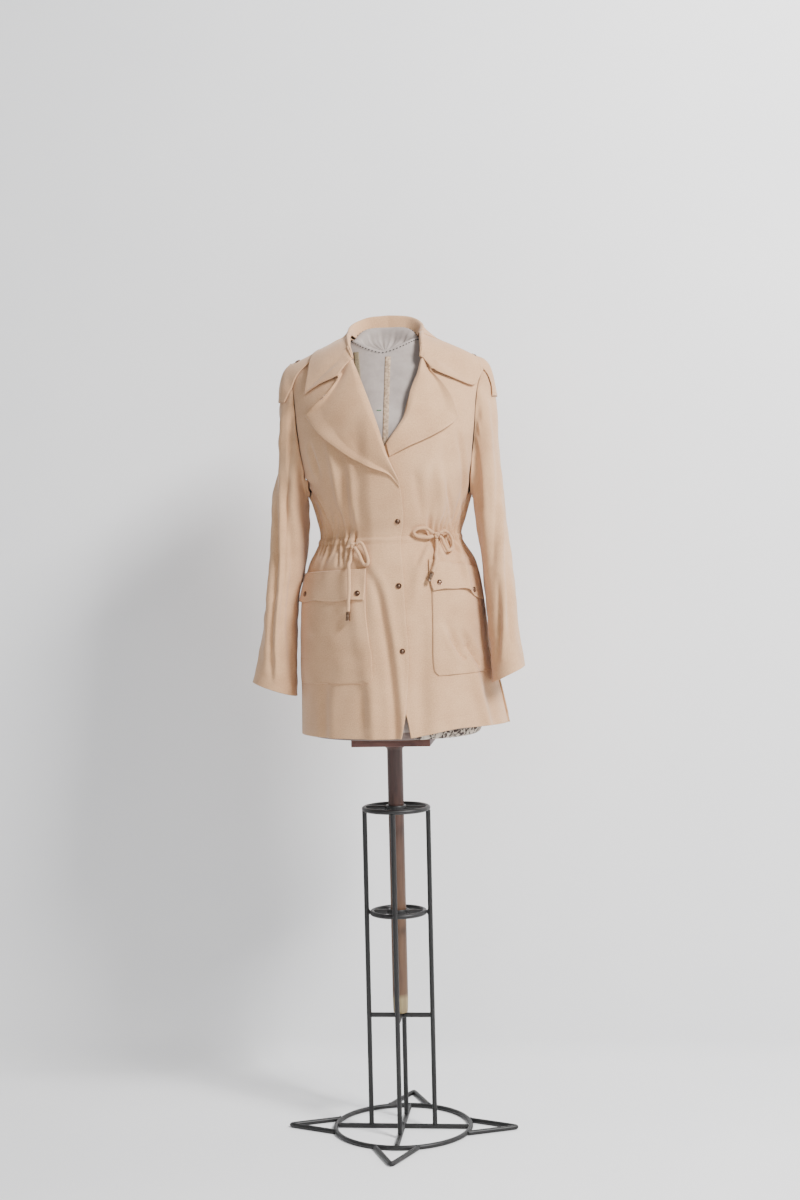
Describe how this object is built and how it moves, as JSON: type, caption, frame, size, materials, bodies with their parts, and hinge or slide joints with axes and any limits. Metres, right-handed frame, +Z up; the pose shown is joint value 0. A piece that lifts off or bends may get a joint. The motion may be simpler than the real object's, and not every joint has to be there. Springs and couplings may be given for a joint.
{
  "type": "safari jacket on a limbless dress form and iron stand",
  "caption": "Sand-coloured cotton safari jacket with waist drawcord and flap pockets, worn by a limbless dress form on a wooden pole in an iron rod stand.",
  "frame": {"origin": "on the floor under the middle of the pole", "axes": "+Z up, the jacket's front faces -Y, the wearer's right side lies at -X"},
  "size_m": [0.5335, 0.4558, 1.5966],
  "materials": {
    "twill": "matte cotton twill",
    "cord": "matte sewn cotton cord",
    "calico": "matte unbleached calico over a firm body",
    "brass": "antique brown brass",
    "board": "stained board",
    "pole": "stained turned pole",
    "iron": "black painted iron rod"
  },
  "bodies": {
    "stand": {"bar_mid_left": "iron", "bar_mid_right": "iron", "bar_top_left": "iron", "bar_top_right": "iron", "base_bar_across": "iron", "base_bar_back": "iron", "base_bar_front": "iron", "base_ring": "iron", "brace_across": "iron", "brace_back": "iron", "brace_front": "iron", "collar_mid": "iron", "collar_top": "iron", "foot_back": "iron", "foot_front": "iron", "foot_left": "iron", "foot_right": "iron", "leg_back": "iron", "leg_front": "iron", "leg_left": "iron", "leg_right": "iron", "ring_mid": "iron", "ring_top": "iron"},
    "form": {"back": "twill", "board": "board", "collar": "twill", "cord_tip_left": "brass", "cord_tip_right": "brass", "drawcord_end_left": "cord", "drawcord_end_right": "cord", "drawcord_knot_left": "cord", "drawcord_knot_right": "cord", "drawcord_loop_left_a": "cord", "drawcord_loop_left_b": "cord", "drawcord_loop_right": "cord", "dress_form": "calico", "epaulette_left": "twill", "epaulette_right": "twill", "flap_left": "twill", "flap_right": "twill", "front_left": "twill", "front_right": "twill", "lapel_left": "twill", "lapel_right": "twill", "pocket_left": "twill", "pocket_right": "twill", "pole": "pole", "sleeve_left": "twill", "sleeve_right": "twill", "snap_1": "brass", "snap_2": "brass", "snap_3": "brass", "snap_4": "brass", "snap_5": "brass", "snap_6": "brass", "snap_7": "brass", "snap_strap_left": "brass", "snap_strap_right": "brass"}
  },
  "joints": [
    {"name": "form_turn", "type": "hinge", "parent": "stand", "child": "form", "pos_m": [0, 0, 0.45], "axis": [0, 0, 1], "continuous": true}
  ]
}
